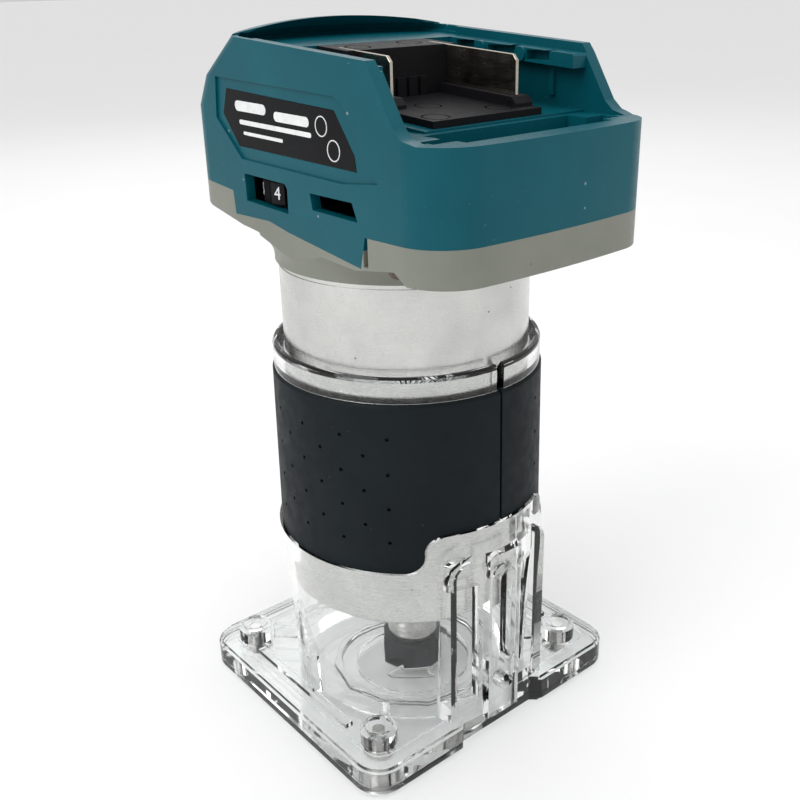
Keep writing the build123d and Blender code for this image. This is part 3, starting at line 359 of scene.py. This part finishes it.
def rounded(node, width):
    """A copy of a CAD node with its sharp edges broken, standing for the node."""
    source = nodes[node]
    mesh = source.data.copy()
    piece = bpy.data.objects.new(f"{node}_moulding", mesh)
    bpy.context.scene.collection.objects.link(piece)
    bm = bmesh.new()
    bm.from_mesh(mesh)
    bmesh.ops.remove_doubles(bm, verts=bm.verts, dist=WELD)
    bmesh.ops.dissolve_limit(bm, angle_limit=FLAT_ANGLE, verts=bm.verts, edges=bm.edges)
    if node == "sub_base_plate":
        lower_top(bm)
    bm.to_mesh(mesh)
    bm.free()
    bevel = piece.modifiers.new("bevel", "BEVEL")
    bevel.width = width
    bevel.segments = BEVEL_SEGMENTS
    bevel.limit_method = "ANGLE"
    bevel.angle_limit = BEVEL_ANGLE
    bevel.use_clamp_overlap = True
    shade(piece)
    piece.modifiers.new("normals", "WEIGHTED_NORMAL").keep_sharp = True
    apply_modifiers(piece)
    dress(piece, materials[slot_of[node]])
    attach(piece, source["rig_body"])
    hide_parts(node)


def lower_top(bm):
    """Lowers the sub-base's top flat a hair, so that two clear pieces don't share one face."""
    for vert in bm.verts:
        if abs(vert.co.z - SUB_BASE_TOP) < 0.01 * MM:
            vert.co.z -= SUB_BASE_DROP


def apply_modifiers(piece):
    """Makes the modifiers' result the piece's own mesh."""
    bpy.context.view_layer.update()
    graph = bpy.context.evaluated_depsgraph_get()
    mesh = bpy.data.meshes.new_from_object(piece.evaluated_get(graph))
    piece.modifiers.clear()
    piece.data = mesh


def shade(piece, angle=34.0):
    """Smooth shading except across edges sharper than the angle."""
    piece.data.shade_smooth()
    piece.data.set_sharp_from_angle(angle=math.radians(angle))


# Bevel widths in millimetres.
ROUNDED = {
    "base_sleeve": 0.35,
    "sub_base_plate": 0.45,
    "housing_left": 0.45,
    "housing_right": 0.45,
    "lower_housing": 0.40,
    "terminal_block": 0.30,
    "bay_floor_plate": 0.25,
    "terminal_blades": 0.12,
    "collet_nut": 0.25,
    "adjusting_knob": 0.25,
    "clamp_thumb_nut": 0.40,
    "clamp_washer": 0.15,
    "clamp_bolt": 0.25,
    "label_plate": 0.15,
    "collar_screws": 0.30,
}
for name, width in ROUNDED.items():
    rounded(name, width * MM)


# ======================================================================
# Fine detail
# ======================================================================

def finished(mesh, name, material, body):
    """A detail piece from its mesh, dressed and riding on a body."""
    piece = bpy.data.objects.new(name, mesh)
    bpy.context.scene.collection.objects.link(piece)
    dress(piece, materials[material])
    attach(piece, body)
    return piece


def mesh_of(curve):
    """The mesh that a curve or a piece of text makes."""
    holder = bpy.data.objects.new(curve.name, curve)
    bpy.context.scene.collection.objects.link(holder)
    bpy.context.view_layer.update()
    mesh = bpy.data.meshes.new_from_object(holder.evaluated_get(bpy.context.evaluated_depsgraph_get()))
    bpy.data.objects.remove(holder)
    return mesh


def wire(points, radius, name, material, body, closed=False):
    """A thin round bead along points."""
    curve = bpy.data.curves.new(name, "CURVE")
    curve.dimensions = "3D"
    curve.bevel_depth = radius
    curve.bevel_resolution = 3
    curve.use_fill_caps = True
    spline = curve.splines.new("POLY")
    spline.points.add(len(points) - 1)
    for point, place in zip(spline.points, points):
        point.co = (*place, 1.0)
    spline.use_cyclic_u = closed
    piece = finished(mesh_of(curve), name, material, body)
    piece.data.shade_smooth()
    return piece


def helix(centre, axis, radius, start, end, pitch, steps=36):
    """Points of a thread along an axis, X being 0, Y 1 and Z 2."""
    first, second = [i for i in range(3) if i != axis]
    count = int(abs(end - start) / pitch * steps)
    points = []
    for step in range(count + 1):
        turn = 2 * math.pi * step / steps
        place = [0.0, 0.0, 0.0]
        place[axis] = start + (end - start) * step / count
        place[first] = centre[first] + radius * math.cos(turn)
        place[second] = centre[second] + radius * math.sin(turn)
        points.append(place)
    return points


def dense(outline, step):
    """A closed outline with points added so that no run is longer than the step."""
    points = []
    for here, there in zip(outline, outline[1:] + outline[:1]):
        count = max(1, int(math.dist(here, there) / step))
        for i in range(count):
            share = i / count
            points.append(tuple(a + (b - a) * share for a, b in zip(here, there)))
    return points


def threads():
    """Threads on the spindle nose above the collet nut and in the guide block's hole."""
    nose = helix((0, 0, 0), 2, SPINDLE_R - 0.05 * MM, NUT_TOP + 1.8 * MM, NUT_TOP + 4.4 * MM, 0.85 * MM)
    wire(nose, 0.16 * MM, "spindle_nose_thread", "steel", "spindle")
    hole = helix(GUIDE_HOLE_CENTRE, 1, 2.42 * MM, -35.8 * MM, -31.0 * MM, 0.8 * MM)
    wire(hole, 0.18 * MM, "guide_hole_thread", "clear_plastic", "base")


def direction_arrow():
    """Raised outline arrow on the sleeve, showing which way to feed."""
    outline = [(0.0, 0.0), (4.2, 3.1), (4.0, 1.6), (12.2, 2.1), (10.9, 0.9), (12.6, -0.8), (0.8, -0.9)]
    points = []
    for along, up in dense(outline, 0.6):
        turn = math.radians(-141.0) + along * MM / ARROW_R
        points.append((ARROW_R * math.cos(turn), ARROW_R * math.sin(turn), (22.4 + up) * MM))
    wire(points, 0.32 * MM, "feed_arrow", "clear_plastic", "base", closed=True)


def print_patch(outline, x, thickness, name):
    """A thin flat print on the left side of the head, from its Y-Z outline."""
    bm = bmesh.new()
    front = [bm.verts.new((x, y, z)) for y, z in outline]
    face = bm.faces.new(front)
    grown = bmesh.ops.extrude_face_region(bm, geom=[face])
    for item in grown["geom"]:
        if isinstance(item, bmesh.types.BMVert):
            item.co.x -= thickness
    bmesh.ops.recalc_face_normals(bm, faces=bm.faces)
    mesh = bpy.data.meshes.new(name)
    bm.to_mesh(mesh)
    bm.free()
    finished(mesh, name, "pale_print", "motor_unit")


def bar(y_start, y_end, z, height):
    """Rounded bar outline that follows the slope of the rating plate's lower edge."""
    radius = height / 2
    slope = 1.0 / 47.0
    points = []
    for centre, low, high in ((y_end + radius, 90, 270), (y_start - radius, -90, 90)):
        for step in range(9):
            turn = math.radians(low + (high - low) * step / 8)
            y = centre + radius * math.cos(turn)
            points.append((y * MM, (z + slope * y + radius * math.sin(turn)) * MM))
    return points


def rating_print():
    """Blank bars and rings where a rating plate carries its print."""
    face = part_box("label_plate")[0].x
    bars = ((22.0, 8.5, 166.6, 2.4), (5.2, -8.8, 165.6, 2.2),
            (20.5, -9.5, 162.9, 1.1), (19.0, 2.0, 160.4, 0.8))
    for number, row in enumerate(bars, start=1):
        print_patch(bar(*row), face, 0.03 * MM, f"rating_bar_{number}")
    for number, (y, z, radius) in enumerate(((-13.4, 165.0, 2.1), (-17.6, 160.2, 2.2)), start=1):
        ring = [(face, (y + radius * math.cos(a)) * MM, (z + radius * math.sin(a)) * MM)
                for a in (2 * math.pi * i / 40 for i in range(40))]
        wire(ring, 0.14 * MM, f"rating_ring_{number}", "pale_print", "motor_unit", closed=True)


def dial_profile(rim, fields):
    """Turn and radius round the dial's rim: flutes between smooth fields."""
    profile = []
    for step in range(DIAL_STEPS):
        turn = 2 * math.pi * step / DIAL_STEPS
        near = min(abs((turn - field + math.pi) % (2 * math.pi) - math.pi) for field in fields)
        flute = 0.5 - 0.5 * math.cos(turn * DIAL_FLUTES)
        depth = FIELD_DEPTH if near < FIELD_HALF_WIDTH else FLUTE_DEPTH * flute
        profile.append((turn, rim - depth * MM))
    return profile


def dial():
    """Speed dial with a fluted rim, six smooth fields and their numbers."""
    low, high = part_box("speed_dial")
    centre = (low + high) / 2
    rim = (high.x - low.x) / 2
    fields = [math.radians(REST_ANGLE + NUMBER_SPACING * (REST_NUMBER - number)) for number in range(1, 7)]
    profile = dial_profile(rim, fields)
    # height and inset from the rim of each ring; an inset of None is the bore
    levels = ((low.z, None), (low.z, DIAL_EDGE), (low.z + DIAL_EDGE, 0.0), (high.z - DIAL_EDGE, 0.0),
              (high.z, DIAL_EDGE), (high.z, None))
    bm = bmesh.new()
    rings = []
    for z, inset in levels:
        ring = []
        for turn, radius in profile:
            r = DIAL_BORE_R if inset is None else radius - inset
            ring.append(bm.verts.new((centre.x + r * math.cos(turn), centre.y + r * math.sin(turn), z)))
        rings.append(ring)
    for lower, upper in zip(rings, rings[1:] + rings[:1]):
        for i in range(DIAL_STEPS):
            j = (i + 1) % DIAL_STEPS
            bm.faces.new((lower[i], lower[j], upper[j], upper[i]))
    bmesh.ops.recalc_face_normals(bm, faces=bm.faces)
    mesh = bpy.data.meshes.new("speed_dial_fluted")
    bm.to_mesh(mesh)
    bm.free()
    piece = finished(mesh, "speed_dial_fluted", "black_plastic", "speed_dial")
    shade(piece, 40.0)
    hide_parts("speed_dial")
    for number, turn in enumerate(fields, start=1):
        digit(str(number), centre, rim, turn)


def digit(text, centre, rim, turn):
    """A number printed on the dial's rim."""
    curve = bpy.data.curves.new(f"digit_{text}", "FONT")
    curve.body = text
    curve.size = DIGIT_SIZE
    curve.extrude = 0.05 * MM
    curve.align_x = "CENTER"
    curve.align_y = "CENTER"
    mesh = mesh_of(curve)
    outward = Vector((math.cos(turn), math.sin(turn), 0.0))
    across = Vector((0, 0, 1)).cross(outward)
    place = centre + outward * (rim - 0.08 * MM)
    frame_of_digit = Matrix((across, Vector((0, 0, 1)), outward)).transposed().to_4x4()
    mesh.transform(Matrix.Translation(place) @ frame_of_digit)
    finished(mesh, f"dial_digit_{text}", "pale_print", "speed_dial")


threads()
direction_arrow()
rating_print()
dial()


# ======================================================================
# Stage: floor, light and camera
# ======================================================================

def floor_sheet():
    """Wide pale floor just under the base."""
    bm = bmesh.new()
    for x, y in ((-1, -1), (1, -1), (1, 1), (-1, 1)):
        bm.verts.new((x * FLOOR_HALF, y * FLOOR_HALF, FLOOR_Z))
    bm.faces.new(bm.verts)
    mesh = bpy.data.meshes.new("floor")
    bm.to_mesh(mesh)
    bm.free()
    floor = bpy.data.objects.new("floor", mesh)
    bpy.context.scene.collection.objects.link(floor)
    s = Surface("floor paper", (0.86, 0.86, 0.86), 0.75)
    s.colour(s.mix(s.noise(8.0, 3.0), (0.85, 0.85, 0.85), (0.88, 0.88, 0.88)))
    dress(floor, s.material)


def white_world():
    """White surroundings, brighter overhead than at the horizon."""
    world = bpy.data.worlds.new("studio")
    world.use_nodes = True
    tree = world.node_tree
    background = tree.nodes["Background"]
    height = tree.nodes.new("ShaderNodeSeparateXYZ")
    tree.links.new(tree.nodes.new("ShaderNodeTexCoord").outputs["Generated"], height.inputs[0])
    shade_up = tree.nodes.new("ShaderNodeMapRange")
    shade_up.inputs["From Min"].default_value = 0.0
    shade_up.inputs["From Max"].default_value = 0.9
    shade_up.inputs["To Min"].default_value = WORLD_LOW
    shade_up.inputs["To Max"].default_value = WORLD_HIGH
    tree.links.new(height.outputs["Z"], shade_up.inputs["Value"])
    tree.links.new(shade_up.outputs["Result"], background.inputs["Strength"])
    background.inputs["Color"].default_value = (1.0, 1.0, 1.0, 1.0)
    bpy.context.scene.world = world


def direction(azimuth, elevation):
    """Unit vector away from the router, azimuth 0 being its front."""
    return Vector((math.sin(azimuth) * math.cos(elevation), -math.cos(azimuth) * math.cos(elevation),
                   math.sin(elevation)))


def lamps():
    """Square area lamps aimed at the middle of the router."""
    for name, azimuth, elevation, distance, size, power in LAMPS:
        lamp = bpy.data.lights.new(name, "AREA")
        lamp.shape = "SQUARE"
        lamp.size = size
        lamp.energy = power
        obj = bpy.data.objects.new(name, lamp)
        bpy.context.scene.collection.objects.link(obj)
        away = direction(math.radians(azimuth), math.radians(elevation))
        obj.location = Vector(LAMP_AIM) + away * distance
        obj.rotation_euler = away.to_track_quat("Z", "Y").to_euler()


def camera():
    """Camera in front and to the left of the router, looking down on it."""
    roll = math.radians(CAMERA_ROLL)
    back = direction(math.radians(CAMERA_AZIMUTH), math.radians(CAMERA_ELEVATION))
    right = (-back).cross(Vector((0, 0, 1))).normalized()
    up = right.cross(-back)
    right, up = (math.cos(roll) * right + math.sin(roll) * up,
                 math.cos(roll) * up - math.sin(roll) * right)
    data = bpy.data.cameras.new("camera")
    data.sensor_width = SENSOR
    data.lens = LENS
    data.clip_start = 0.01
    obj = bpy.data.objects.new("camera", data)
    turn = Matrix((right, up, back)).transposed().to_4x4()
    obj.matrix_world = Matrix.Translation(Vector(CAMERA_PLACE)) @ turn
    bpy.context.scene.collection.objects.link(obj)
    bpy.context.scene.camera = obj


floor_sheet()
white_world()
lamps()
camera()
bpy.context.scene.view_settings.view_transform = "Standard"
bpy.context.scene.cycles.max_bounces = LIGHT_BOUNCES
bpy.context.scene.cycles.transmission_bounces = LIGHT_BOUNCES
